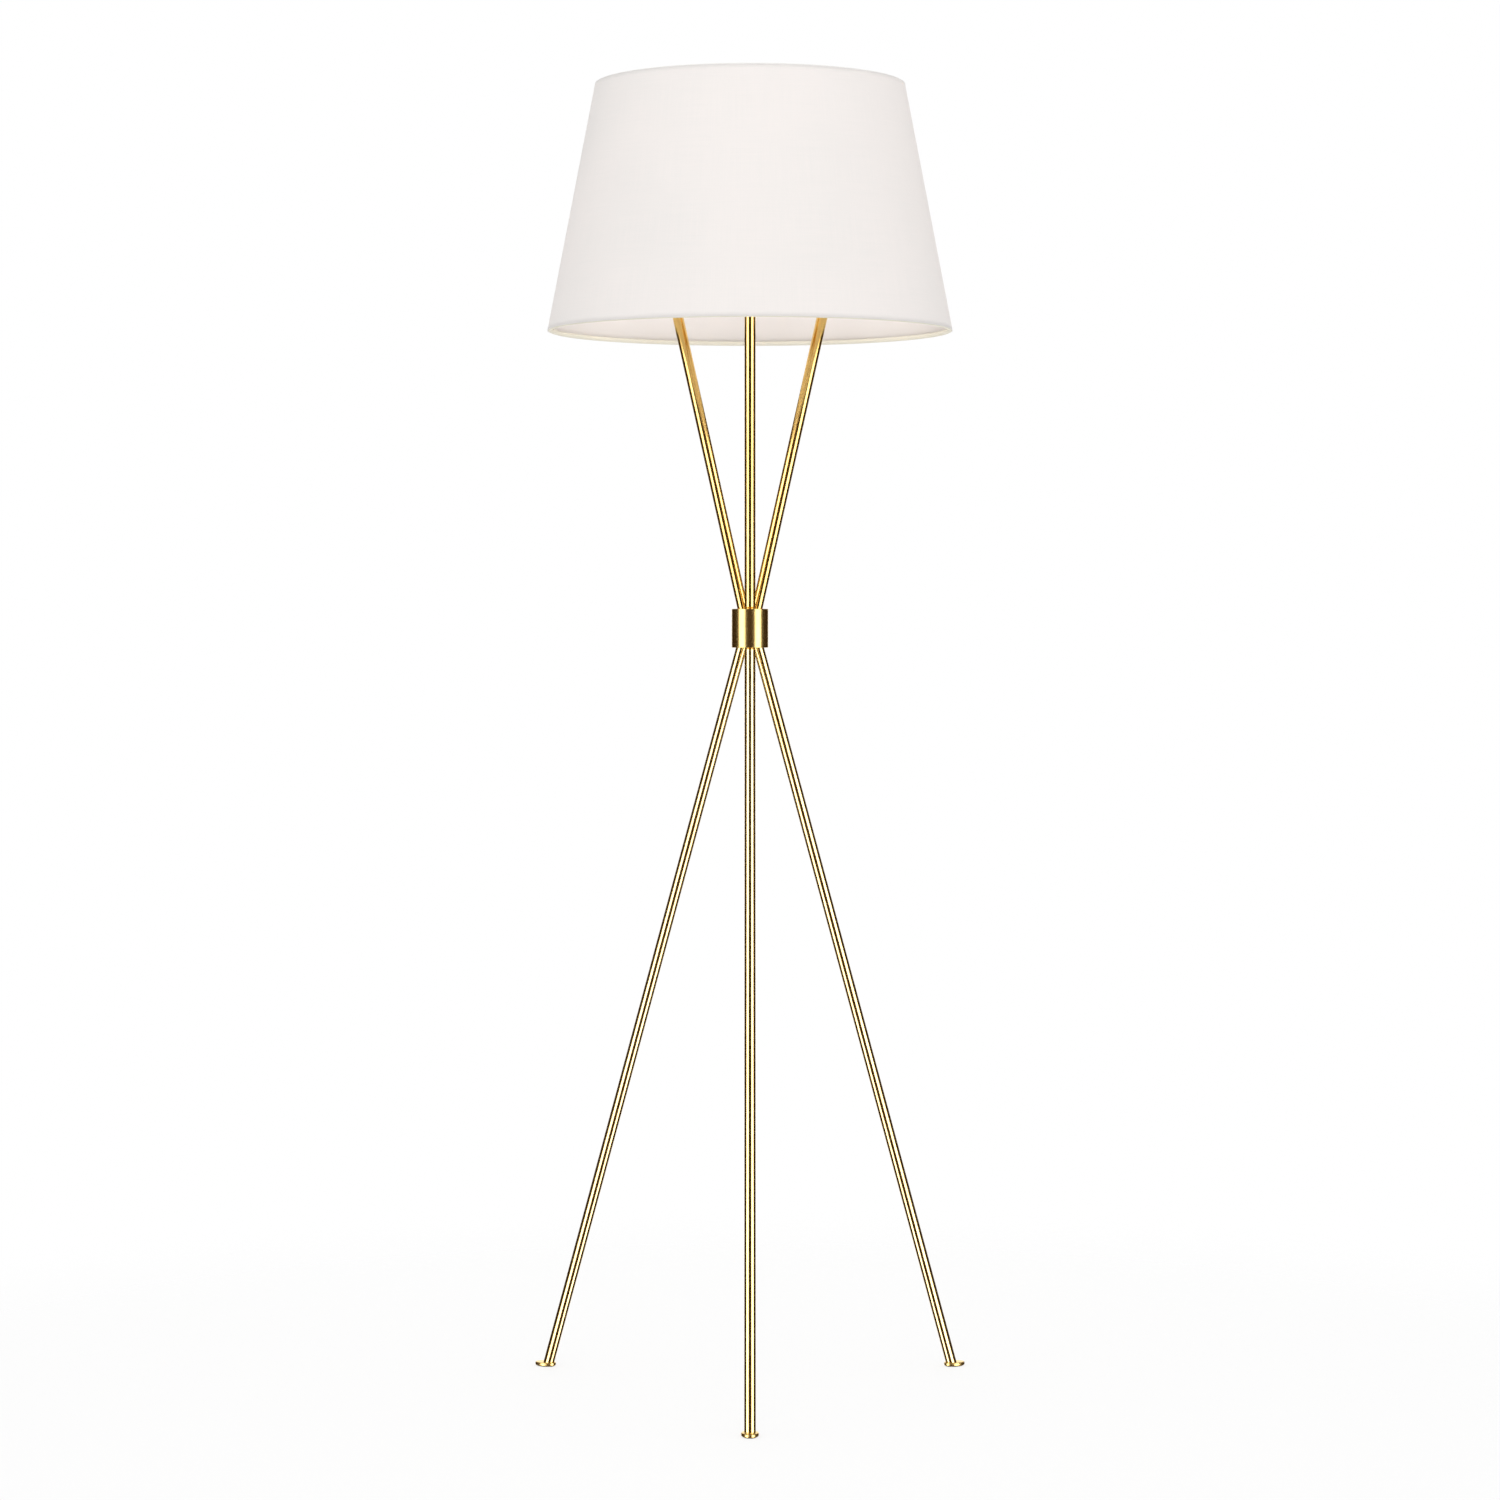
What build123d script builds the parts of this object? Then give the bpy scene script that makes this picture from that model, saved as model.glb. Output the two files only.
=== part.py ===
from build123d import *

import os
from math import cos, radians, sin, tan

os.makedirs("parts", exist_ok=True)

# Tripod floor lamp, millimetres. Z is up, the floor is Z = 0 and the lamp's axis is the Z axis.
# The front leg points along -Y.

# ---------------------------------------------------------------- driving sizes

# tripod
leg_azimuths = {"front": -90, "right": 30, "left": 150}
wired_leg = "right"
waist_height = 906.3  # where a leg's axis meets its upper rod's axis
waist_radius = 4.05
leg_lean = 17.3  # degrees from upright
rod_lean = 14.45
tube_radius = 6.5
tube_wall = 1.2
plug_clearance = 0.05  # between a tube's bore and what is brazed into it

# hub and collar
collar_drop = 1.4  # the collar's middle lies this far below the waist
hub_web = 1.4  # least wall between two neighbouring holes
hub_wall = 1.3  # outside the leg sockets
socket_clearance = 0.1
collar_height = 46.2
collar_wall = 2.0
collar_clearance = 0.12
collar_recess = 0.5  # the hub's ends sit this far inside the collar's
collar_edge = 0.7
nipple_radius = 5.0
nipple_shank_length = 22.0
tail_radius = 4.5
tail_shank_length = 20.0
wire_way_radius = 3.3
grub_radius = 2.0
grub_clearance = 0.05

# feet
pad_length = 27.0  # along the leg's direction
pad_width = 20.0
pad_thickness = 4.2
pad_offset = 4.7  # the pad's centre lies outside the leg's axis
pad_edge = 1.5
spigot_length = 14.0
glide_thickness = 1.0
glide_proud = 0.7  # how far the glide stands below the pad
glide_margin = 2.2
glide_clearance = 0.1

# cord outlet
outlet_height = 46.0
outlet_turn = 30.0  # degrees round the leg, from square sideways towards its outer side
outlet_bore_radius = 3.1
outlet_neck_radius = 4.1
outlet_flange_radius = 5.4
outlet_flange_proud = 1.3
outlet_inner_lip = 0.9
outlet_clearance = 0.1

# lead inside the frame
lead_radius = 1.8
lead_above_outlet = 34.0
lead_waist_bend = 25.0
lead_rod_bend = 6.0
lead_centre_bend = 8.0
lead_hole_clearance = 1.0

# top bracket
bracket_rise = 410.7  # from the waist up to the bracket's top face
bracket_sheet = 1.5
bracket_depth = 20.0
bracket_arm_gap = 1.0  # between a rod and the flange beside it
bracket_centre_radius = 30.0
lead_run_below_top = 15.0
rod_plug_length = 8.0
screw_radius = 2.0
screw_length = 8.0
screw_head_radius = 3.6
screw_head_height = 2.4
screw_clearance = 0.1

# nipple stack
pipe_radius = 5.0
pipe_bore_radius = 3.5
pipe_clearance = 0.1
pipe_above = 11.0
pipe_below = 2.0
nut_across_corners = 16.2
nut_height = 4.0
washer_radius = 9.0
washer_thickness = 1.0

# lamp holder, heights from the top of the harp saddle
cap_neck_radius = 8.5
cap_neck_height = 5.0
cap_radius = 16.9
cap_dome_height = 14.0
cap_height = 22.0
cap_wall = 0.8
shell_wall = 0.6
shell_height = 63.5
shell_overlap = 5.0
shell_lip = 1.2
shell_clearance = 0.1
liner_wall = 0.5
body_height = 18.0
screw_shell_radius = 13.4  # inside
screw_shell_wall = 0.5
screw_shell_height = 24.0
screw_shell_gap = 0.2
contact_radius = 3.5
contact_height = 3.0
contact_sheet = 0.6
terminal_head_radius = 3.0
terminal_head_height = 2.0
terminal_shank_radius = 1.5
terminal_length = 7.0
terminal_clearance = 0.4
key_shaft_radius = 2.5
key_fit = 0.06
key_hole_clearance = 0.8
key_height = 28.5
key_shaft_length = 24.0
key_paddle_length = 14.0
key_paddle_width = 12.0
key_paddle_thickness = 2.6

# bulb, heights from its contact
bulb_gap = 0.3
bulb_contact_radius = 4.8
bulb_contact_height = 2.2
bulb_insulator_height = 3.8
bulb_thread_radius = 13.1
bulb_thread_depth = 0.8
bulb_thread_pitch = 3.6
bulb_thread_turns = 5
bulb_base_height = 27.0
bulb_base_wall = 0.5
bulb_housing_height = 62.0
bulb_globe_radius = 30.0
bulb_housing_wall = 3.0
bulb_wall = 1.2
bulb_height = 110.0
bulb_joint = 0.05

# harp
harp_size = 215.9  # from the saddle's foot to the shade's seat
harp_wire_radius = 2.0
harp_foot = 26.0  # half the distance between its ends
harp_reach = 57.0  # half its width at the widest
harp_shoulder = 50.0
harp_head = 12.0
harp_first_bend_height = 62.0
harp_wide_height = 115.0
harp_shoulder_height = 180.0
harp_bends = [60.0, 80.0, 34.0, 12.0]
saddle_width = 12.0
saddle_sheet = 1.5
saddle_end = 6.0  # the strap past each post
post_height = 10.0
lap_length = 12.0
lap_gap = 0.15
foot_gap = 0.3
sleeve_clearance = 0.3
sleeve_wall = 1.1
sleeve_height = 20.0
sleeve_base = 7.0
sleeve_bead = 0.7
sleeve_bead_height = 3.0
block_radius = 7.0
block_height = 6.0
stud_pin_radius = 2.5
stud_pin_fit = 0.06
stud_seat_radius = 8.0
stud_seat_height = 3.0
stud_gap = 0.3
rivet_radius = 4.2
rivet_height = 2.0
stud_radius = 3.1
stud_length = 15.0

# shade
shade_bottom_radius = 241.3
shade_top_radius = 184.4
shade_height = 295.4
spider_drop = 20.15  # from the top of the shade down to the underside of the washer
fabric_thickness = 0.5
liner_thickness = 0.7
lamination_gap = 0.02
hem_thickness = 0.5
hem_width = 5.0
ring_wire_radius = 1.6
ring_gap = 0.3  # the glue line round a ring
weld_gap = 0.05  # between a fitter's arm and the ring that it is welded to
spider_wire_radius = 1.5
spider_washer_radius = 15.0
spider_hole_radius = 5.5
spider_step_inner = 36.0  # from the ring in to the arm's lower bend
spider_step_outer = 14.0
spider_bend = 10.0
spider_slot_clearance = 1.0
seat_gap = 0.05

# finial
finial_fit = 0.08
finial_base_radius = 7.0
finial_neck_radius = 4.4
finial_knob_radius = 8.0
finial_height = 31.0
finial_base_height = 3.0

# ---------------------------------------------------------------- worked-out sizes

tube_bore = tube_radius - tube_wall
plug_radius = tube_bore - plug_clearance
pad_bottom = glide_proud
pad_top = pad_bottom + pad_thickness

collar_middle = waist_height - collar_drop
collar_bottom = collar_middle - collar_height / 2
collar_top = collar_middle + collar_height / 2
hub_bottom = collar_bottom + collar_recess
hub_top = collar_top - collar_recess
socket_radius = tube_radius + socket_clearance
leg_reach = (waist_height - hub_bottom) * tan(radians(leg_lean)) + socket_radius / cos(radians(leg_lean))
hub_radius = waist_radius + leg_reach + hub_wall
collar_bore = hub_radius + collar_clearance
collar_radius = collar_bore + collar_wall

bracket_top = waist_height + bracket_rise
bracket_underside = bracket_top - bracket_sheet
bracket_bottom = bracket_top - bracket_depth
lead_run_height = bracket_top - lead_run_below_top


def along_to_clear(radius, lean):
    """Distance from the waist at which three leaning holes of a radius leave the hub's web between them."""
    needed = (radius + hub_web / 2) / sin(radians(60))
    return (needed - waist_radius) / sin(radians(lean))


leg_seat = along_to_clear(socket_radius, leg_lean)
nipple_end = along_to_clear(nipple_radius, leg_lean)
rod_seat = along_to_clear(socket_radius, rod_lean)
tail_end = along_to_clear(tail_radius, rod_lean)
leg_foot = (waist_height - pad_top) / cos(radians(leg_lean))
rod_top = (bracket_underside - waist_height) / cos(radians(rod_lean))
past = 3 * tube_radius  # how far a slanting tube is made too long before it is cut level


def leg_radius_at(height):
    return waist_radius + (waist_height - height) * tan(radians(leg_lean))


def rod_radius_at(height):
    return waist_radius + (height - waist_height) * tan(radians(rod_lean))


def outward(azimuth):
    return Vector(1, 0, 0).rotate(Axis.Z, azimuth)


def sideways(azimuth):
    return Vector(0, 1, 0).rotate(Axis.Z, azimuth)


def leg_plane(azimuth, along):
    """The plane square to a leg at a distance from the waist. Its normal runs down the leg."""
    run = outward(azimuth) * sin(radians(leg_lean)) - Vector(0, 0, cos(radians(leg_lean)))
    waist = outward(azimuth) * waist_radius + Vector(0, 0, waist_height)
    return Plane(origin=waist + run * along, x_dir=sideways(azimuth), z_dir=run)


def rod_plane(azimuth, along):
    """The plane square to an upper rod at a distance from the waist. Its normal runs up the rod."""
    run = outward(azimuth) * sin(radians(rod_lean)) + Vector(0, 0, cos(radians(rod_lean)))
    waist = outward(azimuth) * waist_radius + Vector(0, 0, waist_height)
    return Plane(origin=waist + run * along, x_dir=sideways(azimuth), z_dir=run)


def radial_plane(azimuth, radius, height):
    """An upright plane that faces outward, at a radius and a height."""
    return Plane(
        origin=outward(azimuth) * radius + Vector(0, 0, height),
        x_dir=sideways(azimuth),
        z_dir=outward(azimuth),
    )


def level_plane(azimuth, radius, height):
    """A level plane whose X axis points outward, centred at a radius and a height."""
    return Plane(
        origin=outward(azimuth) * radius + Vector(0, 0, height),
        x_dir=outward(azimuth),
        z_dir=(0, 0, 1),
    )


# ---------------------------------------------------------------- hub and collar

with BuildPart() as hub_core:
    with BuildSketch(Plane.XY.offset(hub_bottom)):
        Circle(hub_radius)
    extrude(amount=hub_top - hub_bottom)
    for azimuth in leg_azimuths.values():
        with BuildSketch(leg_plane(azimuth, leg_seat)):
            Circle(socket_radius)
        extrude(amount=collar_height, mode=Mode.SUBTRACT)
        with BuildSketch(leg_plane(azimuth, nipple_end)):
            Circle(nipple_radius)
        extrude(amount=collar_height, mode=Mode.SUBTRACT)
        with BuildSketch(rod_plane(azimuth, rod_seat)):
            Circle(socket_radius)
        extrude(amount=collar_height, mode=Mode.SUBTRACT)
        with BuildSketch(rod_plane(azimuth, tail_end)):
            Circle(tail_radius)
        extrude(amount=collar_height, mode=Mode.SUBTRACT)
    grub_height = waist_height + (tail_end + rod_seat) / 2 * cos(radians(rod_lean))
    for azimuth in leg_azimuths.values():
        with BuildSketch(radial_plane(azimuth, rod_radius_at(grub_height), grub_height)):
            Circle(grub_radius + grub_clearance)
        extrude(amount=hub_radius, mode=Mode.SUBTRACT)
    # the wired leg's way through: two drillings that meet at the waist
    wired = leg_azimuths[wired_leg]
    for drilling in (leg_plane(wired, 0), rod_plane(wired, 0)):
        with BuildSketch(drilling):
            Circle(wire_way_radius)
        extrude(amount=max(nipple_end, tail_end) + wire_way_radius, mode=Mode.SUBTRACT)
    with Locations(outward(wired) * waist_radius + Vector(0, 0, waist_height)):
        Sphere(wire_way_radius, mode=Mode.SUBTRACT)
hub_core.part.label = "hub_core"
export_step(hub_core.part, "parts/hub_core.step")

with BuildPart() as collar:
    with BuildSketch(Plane.XY.offset(collar_bottom)):
        Circle(collar_radius)
        Circle(collar_bore, mode=Mode.SUBTRACT)
    extrude(amount=collar_height)
    rims = collar.edges().filter_by(GeomType.CIRCLE).sort_by(SortBy.RADIUS)[-2:]
    fillet(rims, radius=min(collar_edge, 0.8 * collar_wall))
    with BuildSketch(radial_plane(90, collar_bore - collar_clearance, collar_middle)):
        Circle(grub_radius + grub_clearance)
    extrude(amount=2 * collar_wall, mode=Mode.SUBTRACT)
collar.part.label = "collar"
export_step(collar.part, "parts/collar.step")

with BuildPart() as collar_set_screw:
    with BuildSketch(radial_plane(90, hub_radius, collar_middle)):
        Circle(grub_radius)
    extrude(amount=collar_clearance + collar_wall)
    with BuildSketch(radial_plane(90, collar_radius, collar_middle)):
        RegularPolygon(grub_radius / 2, 6)
    extrude(amount=-collar_wall / 2, mode=Mode.SUBTRACT)
collar_set_screw.part.label = "collar_set_screw"
export_step(collar_set_screw.part, "parts/collar_set_screw.step")

# The tail leans outward as it rises, so a grub screw meets it with its upper edge.
grub_start = rod_radius_at(grub_height + grub_radius) + tail_radius / cos(radians(rod_lean))
with BuildPart() as hub_set_screws:
    for azimuth in leg_azimuths.values():
        with BuildSketch(radial_plane(azimuth, grub_start + grub_clearance, grub_height)):
            Circle(grub_radius)
        extrude(amount=hub_radius - grub_start - 2 * grub_clearance)
        with BuildSketch(radial_plane(azimuth, hub_radius, grub_height)):
            RegularPolygon(grub_radius / 2, 6)
        extrude(amount=-grub_radius, mode=Mode.SUBTRACT)
hub_set_screws.part.label = "hub_set_screws"
export_step(hub_set_screws.part, "parts/hub_set_screws.step")

# ---------------------------------------------------------------- legs and upper rods

outlet_along = (waist_height - outlet_height) / cos(radians(leg_lean))


def outlet_plane(distance):
    """The plane of the cord outlet, at a distance from the wired leg's axis and facing away from it."""
    run = leg_plane(wired, 0).z_dir
    centre = leg_plane(wired, outlet_along).origin
    facing = sideways(wired).rotate(Axis((0, 0, 0), run), outlet_turn)
    return Plane(origin=centre + facing * distance, x_dir=run, z_dir=facing)


for name, azimuth in leg_azimuths.items():
    with BuildPart() as leg:
        with BuildSketch(leg_plane(azimuth, leg_seat)):
            Circle(tube_radius)
            Circle(tube_bore, mode=Mode.SUBTRACT)
        extrude(amount=leg_foot + past - leg_seat)
        split(bisect_by=Plane.XY.offset(pad_top), keep=Keep.TOP)
        if name == wired_leg:
            with BuildSketch(outlet_plane(0)):
                Circle(outlet_neck_radius + outlet_clearance)
            extrude(amount=2 * tube_radius, mode=Mode.SUBTRACT)
    leg.part.label = f"leg_{name}"
    export_step(leg.part, f"parts/leg_{name}.step")

for name, azimuth in leg_azimuths.items():
    with BuildPart() as upper_rod:
        with BuildSketch(rod_plane(azimuth, rod_seat)):
            Circle(tube_radius)
            Circle(tube_bore, mode=Mode.SUBTRACT)
        extrude(amount=rod_top + past - rod_seat)
        split(bisect_by=Plane.XY.offset(bracket_underside), keep=Keep.BOTTOM)
        if name == wired_leg:
            # the lead leaves the rod inward, inside the bracket's arm
            with BuildSketch(radial_plane(azimuth, rod_radius_at(lead_run_height), lead_run_height)):
                Circle(lead_radius + lead_hole_clearance)
            extrude(amount=-2 * tube_radius, mode=Mode.SUBTRACT)
    upper_rod.part.label = f"upper_rod_{name}"
    export_step(upper_rod.part, f"parts/upper_rod_{name}.step")

with BuildPart() as leg_nipples:
    for azimuth in leg_azimuths.values():
        with BuildSketch(leg_plane(azimuth, nipple_end)):
            Circle(nipple_radius - plug_clearance)
        extrude(amount=leg_seat - nipple_end)
        with BuildSketch(leg_plane(azimuth, leg_seat)):
            Circle(plug_radius)
        extrude(amount=nipple_shank_length)
        with BuildSketch(leg_plane(azimuth, nipple_end)):
            Circle(wire_way_radius)
        extrude(amount=leg_seat - nipple_end + nipple_shank_length, mode=Mode.SUBTRACT)
leg_nipples.part.label = "leg_nipples"
export_step(leg_nipples.part, "parts/leg_nipples.step")

with BuildPart() as rod_tails:
    for azimuth in leg_azimuths.values():
        with BuildSketch(rod_plane(azimuth, tail_end)):
            Circle(tail_radius - plug_clearance)
        extrude(amount=rod_seat - tail_end)
        with BuildSketch(rod_plane(azimuth, rod_seat)):
            Circle(plug_radius)
        extrude(amount=tail_shank_length)
        with BuildSketch(rod_plane(azimuth, tail_end)):
            Circle(wire_way_radius)
        extrude(amount=rod_seat - tail_end + tail_shank_length, mode=Mode.SUBTRACT)
rod_tails.part.label = "rod_tails"
export_step(rod_tails.part, "parts/rod_tails.step")

# ---------------------------------------------------------------- feet

pad_radius_out = leg_radius_at(pad_top) + pad_offset
glide_recess = glide_thickness - glide_proud

for name, azimuth in leg_azimuths.items():
    with BuildPart() as foot:
        # the spigot runs up the leg's bore and starts inside the pad
        with BuildSketch(leg_plane(azimuth, leg_foot - spigot_length)):
            Circle(plug_radius)
        extrude(amount=spigot_length + past)
        split(bisect_by=Plane.XY.offset(pad_bottom + pad_thickness / 2), keep=Keep.TOP)
        with BuildSketch(level_plane(azimuth, pad_radius_out, pad_bottom)):
            Ellipse(pad_length / 2, pad_width / 2)
        extrude(amount=pad_thickness)
        fillet(foot.edges().sort_by(SortBy.LENGTH)[-2:], radius=min(pad_edge, 0.4 * pad_thickness))
        with BuildSketch(level_plane(azimuth, pad_radius_out, pad_bottom)):
            Ellipse(
                pad_length / 2 - glide_margin + glide_clearance,
                pad_width / 2 - glide_margin + glide_clearance,
            )
        extrude(amount=glide_recess, mode=Mode.SUBTRACT)
    foot.part.label = f"foot_{name}"
    export_step(foot.part, f"parts/foot_{name}.step")

with BuildPart() as foot_glides:
    for azimuth in leg_azimuths.values():
        with BuildSketch(level_plane(azimuth, pad_radius_out, 0)):
            Ellipse(pad_length / 2 - glide_margin, pad_width / 2 - glide_margin)
        extrude(amount=glide_thickness)
foot_glides.part.label = "foot_glides"
export_step(foot_glides.part, "parts/foot_glides.step")

# ---------------------------------------------------------------- cord outlet and lead

outlet_inside = tube_bore - outlet_inner_lip
outlet_outside = tube_radius + outlet_flange_proud
with BuildPart() as cord_grommet:
    # the flange sits on the outside of the leg, shaped to it
    with BuildSketch(outlet_plane(outlet_inside)):
        Circle(outlet_flange_radius)
    extrude(amount=outlet_outside - outlet_inside)
    with BuildSketch(leg_plane(wired, outlet_along - past)):
        Circle(tube_radius)
    extrude(amount=2 * past, mode=Mode.SUBTRACT)
    with BuildSketch(outlet_plane(outlet_inside)):
        Circle(outlet_neck_radius)
    extrude(amount=outlet_outside - outlet_inside)
    with BuildSketch(outlet_plane(outlet_inside)):
        Circle(outlet_bore_radius)
    extrude(amount=outlet_outside - outlet_inside, mode=Mode.SUBTRACT)
cord_grommet.part.label = "cord_grommet"
export_step(cord_grommet.part, "parts/cord_grommet.step")

holder_base = bracket_top + saddle_sheet
body_bottom = holder_base + cap_height - shell_overlap + shell_lip + screw_shell_gap + cap_wall
lead_start = leg_plane(wired, outlet_along - lead_above_outlet).origin
lead_waist = outward(wired) * waist_radius + Vector(0, 0, waist_height)
lead_turn = outward(wired) * rod_radius_at(lead_run_height) + Vector(0, 0, lead_run_height)
with BuildPart() as inner_lead:
    with BuildLine() as lead_route:
        FilletPolyline(
            lead_start,
            lead_waist,
            lead_turn,
            Vector(0, 0, lead_run_height),
            Vector(0, 0, body_bottom),
            radius=[lead_waist_bend, lead_rod_bend, lead_centre_bend],
        )
    with BuildSketch(leg_plane(wired, outlet_along - lead_above_outlet)):
        Circle(lead_radius)
    sweep(path=lead_route.line)
inner_lead.part.label = "inner_lead"
export_step(inner_lead.part, "parts/inner_lead.step")

# ---------------------------------------------------------------- top bracket

arm_end = rod_radius_at(bracket_underside)
arm_width = 2 * (tube_radius / cos(radians(rod_lean)) + bracket_arm_gap + bracket_sheet)
with BuildPart() as top_bracket:
    # a pressed tray: the star's sheet with its edge turned down all round
    with BuildSketch(Plane.XY.offset(bracket_bottom)) as star:
        Circle(bracket_centre_radius)
        for azimuth in leg_azimuths.values():
            with Locations(level_plane(azimuth, arm_end / 2, 0).location):
                Rectangle(arm_end, arm_width)
            with Locations(outward(azimuth) * arm_end):
                Circle(arm_width / 2)
    extrude(amount=bracket_depth)
    with BuildSketch(Plane.XY.offset(bracket_bottom)):
        Circle(bracket_centre_radius - bracket_sheet)
        for azimuth in leg_azimuths.values():
            with Locations(level_plane(azimuth, arm_end / 2, 0).location):
                Rectangle(arm_end, arm_width - 2 * bracket_sheet)
            with Locations(outward(azimuth) * arm_end):
                Circle(arm_width / 2 - bracket_sheet)
    extrude(amount=bracket_depth - bracket_sheet, mode=Mode.SUBTRACT)
    with BuildSketch(Plane.XY.offset(bracket_underside)):
        Circle(pipe_radius + pipe_clearance)
        for azimuth in leg_azimuths.values():
            with Locations(outward(azimuth) * arm_end):
                Circle(screw_radius + screw_clearance)
    extrude(amount=bracket_sheet, mode=Mode.SUBTRACT)
top_bracket.part.label = "top_bracket"
export_step(top_bracket.part, "parts/top_bracket.step")

with BuildPart() as rod_end_plugs:
    for azimuth in leg_azimuths.values():
        with BuildSketch(rod_plane(azimuth, rod_top - rod_plug_length)):
            Circle(plug_radius)
        extrude(amount=rod_plug_length + past)
    split(bisect_by=Plane.XY.offset(bracket_underside), keep=Keep.BOTTOM)
    with BuildSketch(Plane.XY.offset(bracket_underside)):
        for azimuth in leg_azimuths.values():
            with Locations(outward(azimuth) * arm_end):
                Circle(screw_radius + grub_clearance)
    extrude(amount=-screw_length, mode=Mode.SUBTRACT)
rod_end_plugs.part.label = "rod_end_plugs"
export_step(rod_end_plugs.part, "parts/rod_end_plugs.step")

with BuildPart() as bracket_screws:
    for azimuth in leg_azimuths.values():
        with BuildSketch(level_plane(azimuth, arm_end, bracket_top - screw_length)):
            Circle(screw_radius)
        extrude(amount=screw_length)
        with BuildSketch(level_plane(azimuth, arm_end, bracket_top)):
            Circle(screw_head_radius)
        extrude(amount=screw_head_height)
    domes = bracket_screws.edges().filter_by(GeomType.CIRCLE).group_by(Axis.Z)[-1]
    fillet(domes, radius=0.45 * screw_head_height)
    with BuildSketch(Plane.XY.offset(bracket_top + screw_head_height)):
        for azimuth in leg_azimuths.values():
            with Locations(outward(azimuth) * arm_end):
                RegularPolygon(screw_head_radius / 3, 6)
    extrude(amount=-screw_head_height / 2, mode=Mode.SUBTRACT)
bracket_screws.part.label = "bracket_screws"
export_step(bracket_screws.part, "parts/bracket_screws.step")

# ---------------------------------------------------------------- threaded pipe and its nut

washer_bottom = bracket_underside - washer_thickness
nut_bottom = washer_bottom - nut_height
with BuildPart() as socket_nipple:
    with BuildSketch(Plane.XY.offset(nut_bottom - pipe_below)):
        Circle(pipe_radius)
        Circle(pipe_bore_radius, mode=Mode.SUBTRACT)
    extrude(amount=holder_base + pipe_above - nut_bottom + pipe_below)
    chamfer(socket_nipple.edges().filter_by(GeomType.CIRCLE), length=0.2 * (pipe_radius - pipe_bore_radius))
socket_nipple.part.label = "socket_nipple"
export_step(socket_nipple.part, "parts/socket_nipple.step")

with BuildPart() as lock_nut:
    with BuildSketch(Plane.XY.offset(nut_bottom)):
        RegularPolygon(nut_across_corners / 2, 6)
        Circle(pipe_radius + grub_clearance, mode=Mode.SUBTRACT)
    extrude(amount=nut_height)
lock_nut.part.label = "lock_nut"
export_step(lock_nut.part, "parts/lock_nut.step")

with BuildPart() as lock_washer:
    with BuildSketch(Plane.XY.offset(washer_bottom)):
        Circle(washer_radius)
        Circle(pipe_radius + pipe_clearance, mode=Mode.SUBTRACT)
    extrude(amount=washer_thickness)
lock_washer.part.label = "lock_washer"
export_step(lock_washer.part, "parts/lock_washer.step")

# ---------------------------------------------------------------- lamp holder

shell_radius = cap_radius - cap_wall - shell_clearance
shell_bottom = holder_base + cap_height - shell_overlap
shell_bore = shell_radius - shell_wall
liner_radius = shell_bore - shell_clearance
liner_bore = liner_radius - liner_wall
body_radius = liner_bore - shell_clearance
body_top = body_bottom + body_height
key_level = holder_base + key_height

with BuildPart() as socket_cap:
    with BuildSketch(Plane.XZ):
        with BuildLine():
            Polyline(
                (pipe_radius + grub_clearance, holder_base),
                (cap_neck_radius, holder_base),
                (cap_neck_radius, holder_base + cap_neck_height),
            )
            RadiusArc(
                (cap_neck_radius, holder_base + cap_neck_height),
                (cap_radius, holder_base + cap_dome_height),
                -1.05 * (cap_radius - cap_neck_radius),
            )
            Polyline(
                (cap_radius, holder_base + cap_dome_height),
                (cap_radius, holder_base + cap_height),
                (cap_radius - cap_wall, holder_base + cap_height),
                (cap_radius - cap_wall, holder_base + cap_dome_height),
            )
            RadiusArc(
                (cap_radius - cap_wall, holder_base + cap_dome_height),
                (cap_neck_radius - cap_wall, holder_base + cap_neck_height + cap_wall),
                1.05 * (cap_radius - cap_neck_radius),
            )
            Polyline(
                (cap_neck_radius - cap_wall, holder_base + cap_neck_height + cap_wall),
                (pipe_radius + grub_clearance, holder_base + cap_neck_height + cap_wall),
                (pipe_radius + grub_clearance, holder_base),
            )
        make_face()
    revolve(axis=Axis.Z)
socket_cap.part.label = "socket_cap"
export_step(socket_cap.part, "parts/socket_cap.step")

with BuildPart() as socket_shell:
    with BuildSketch(Plane.XY.offset(shell_bottom)):
        Circle(shell_radius)
        Circle(shell_bore, mode=Mode.SUBTRACT)
    extrude(amount=holder_base + shell_height - shell_bottom)
    with BuildSketch(Plane.XY.offset(holder_base + shell_height - shell_lip)):
        Circle(shell_radius + shell_lip)
        Circle(shell_bore, mode=Mode.SUBTRACT)
    extrude(amount=shell_lip)
    fillet(
        socket_shell.edges().filter_by(GeomType.CIRCLE).sort_by(SortBy.RADIUS)[-2:],
        radius=0.4 * shell_lip,
    )
    with BuildSketch(radial_plane(-90, 0, key_level)):
        Circle(key_shaft_radius + key_hole_clearance)
    extrude(amount=2 * shell_radius, mode=Mode.SUBTRACT)
socket_shell.part.label = "socket_shell"
export_step(socket_shell.part, "parts/socket_shell.step")

with BuildPart() as socket_liner:
    with BuildSketch(Plane.XY.offset(shell_bottom + shell_lip)):
        Circle(liner_radius)
        Circle(liner_bore, mode=Mode.SUBTRACT)
    extrude(amount=holder_base + shell_height - shell_bottom - 2 * shell_lip)
    with BuildSketch(radial_plane(-90, 0, key_level)):
        Circle(key_shaft_radius + key_hole_clearance)
    extrude(amount=2 * shell_radius, mode=Mode.SUBTRACT)
socket_liner.part.label = "socket_liner"
export_step(socket_liner.part, "parts/socket_liner.step")

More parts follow.
